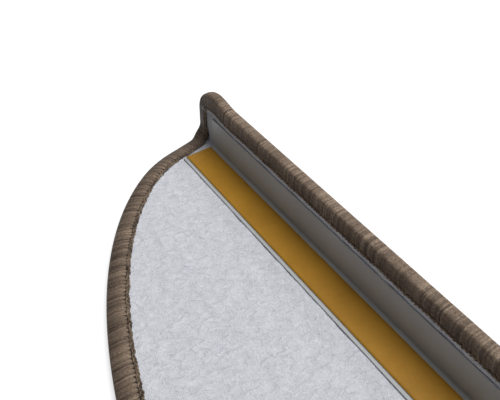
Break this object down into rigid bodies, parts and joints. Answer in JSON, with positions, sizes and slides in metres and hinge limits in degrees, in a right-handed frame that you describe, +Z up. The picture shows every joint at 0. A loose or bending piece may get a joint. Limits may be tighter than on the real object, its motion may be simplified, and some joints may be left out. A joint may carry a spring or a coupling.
{
  "type": "stair tread mat",
  "caption": "Half-oval carpet mat for a stair tread, seen from its underside, with a serged edge, a flange over the stair's nosing, a plastic angle profile and adhesive tape.",
  "frame": {"origin": "centre of the bounding box at the level that the mat lies on, walking face down", "axes": "+X along the stair's edge, +Y from the nosing flange to the round back of the mat, +Z up out of the fleece underside, which is the way the flange stands"},
  "size_m": [0.56, 0.1616, 0.048],
  "materials": {
    "pile": "short loop pile, matt",
    "fleece": "needled fleece, faintly wrinkled, matt",
    "yarn": "wrapped serging yarn with a faint sheen",
    "thread": "stitching thread",
    "profile": "smooth extruded plastic, satin",
    "glue": "clear hot-melt film",
    "tape": "double-sided tape, edge only showing",
    "liner": "amber siliconised release paper, satin"
  },
  "bodies": {
    "root": {"carpet_pile": "pile", "fleece_backing": "fleece", "edge_serging": "yarn", "lock_stitch_braid": "thread", "angle_profile": "profile", "glue_strip_tread": "glue", "glue_strip_flange": "glue", "adhesive_tape": "tape", "release_liner": "liner"}
  },
  "joints": []
}
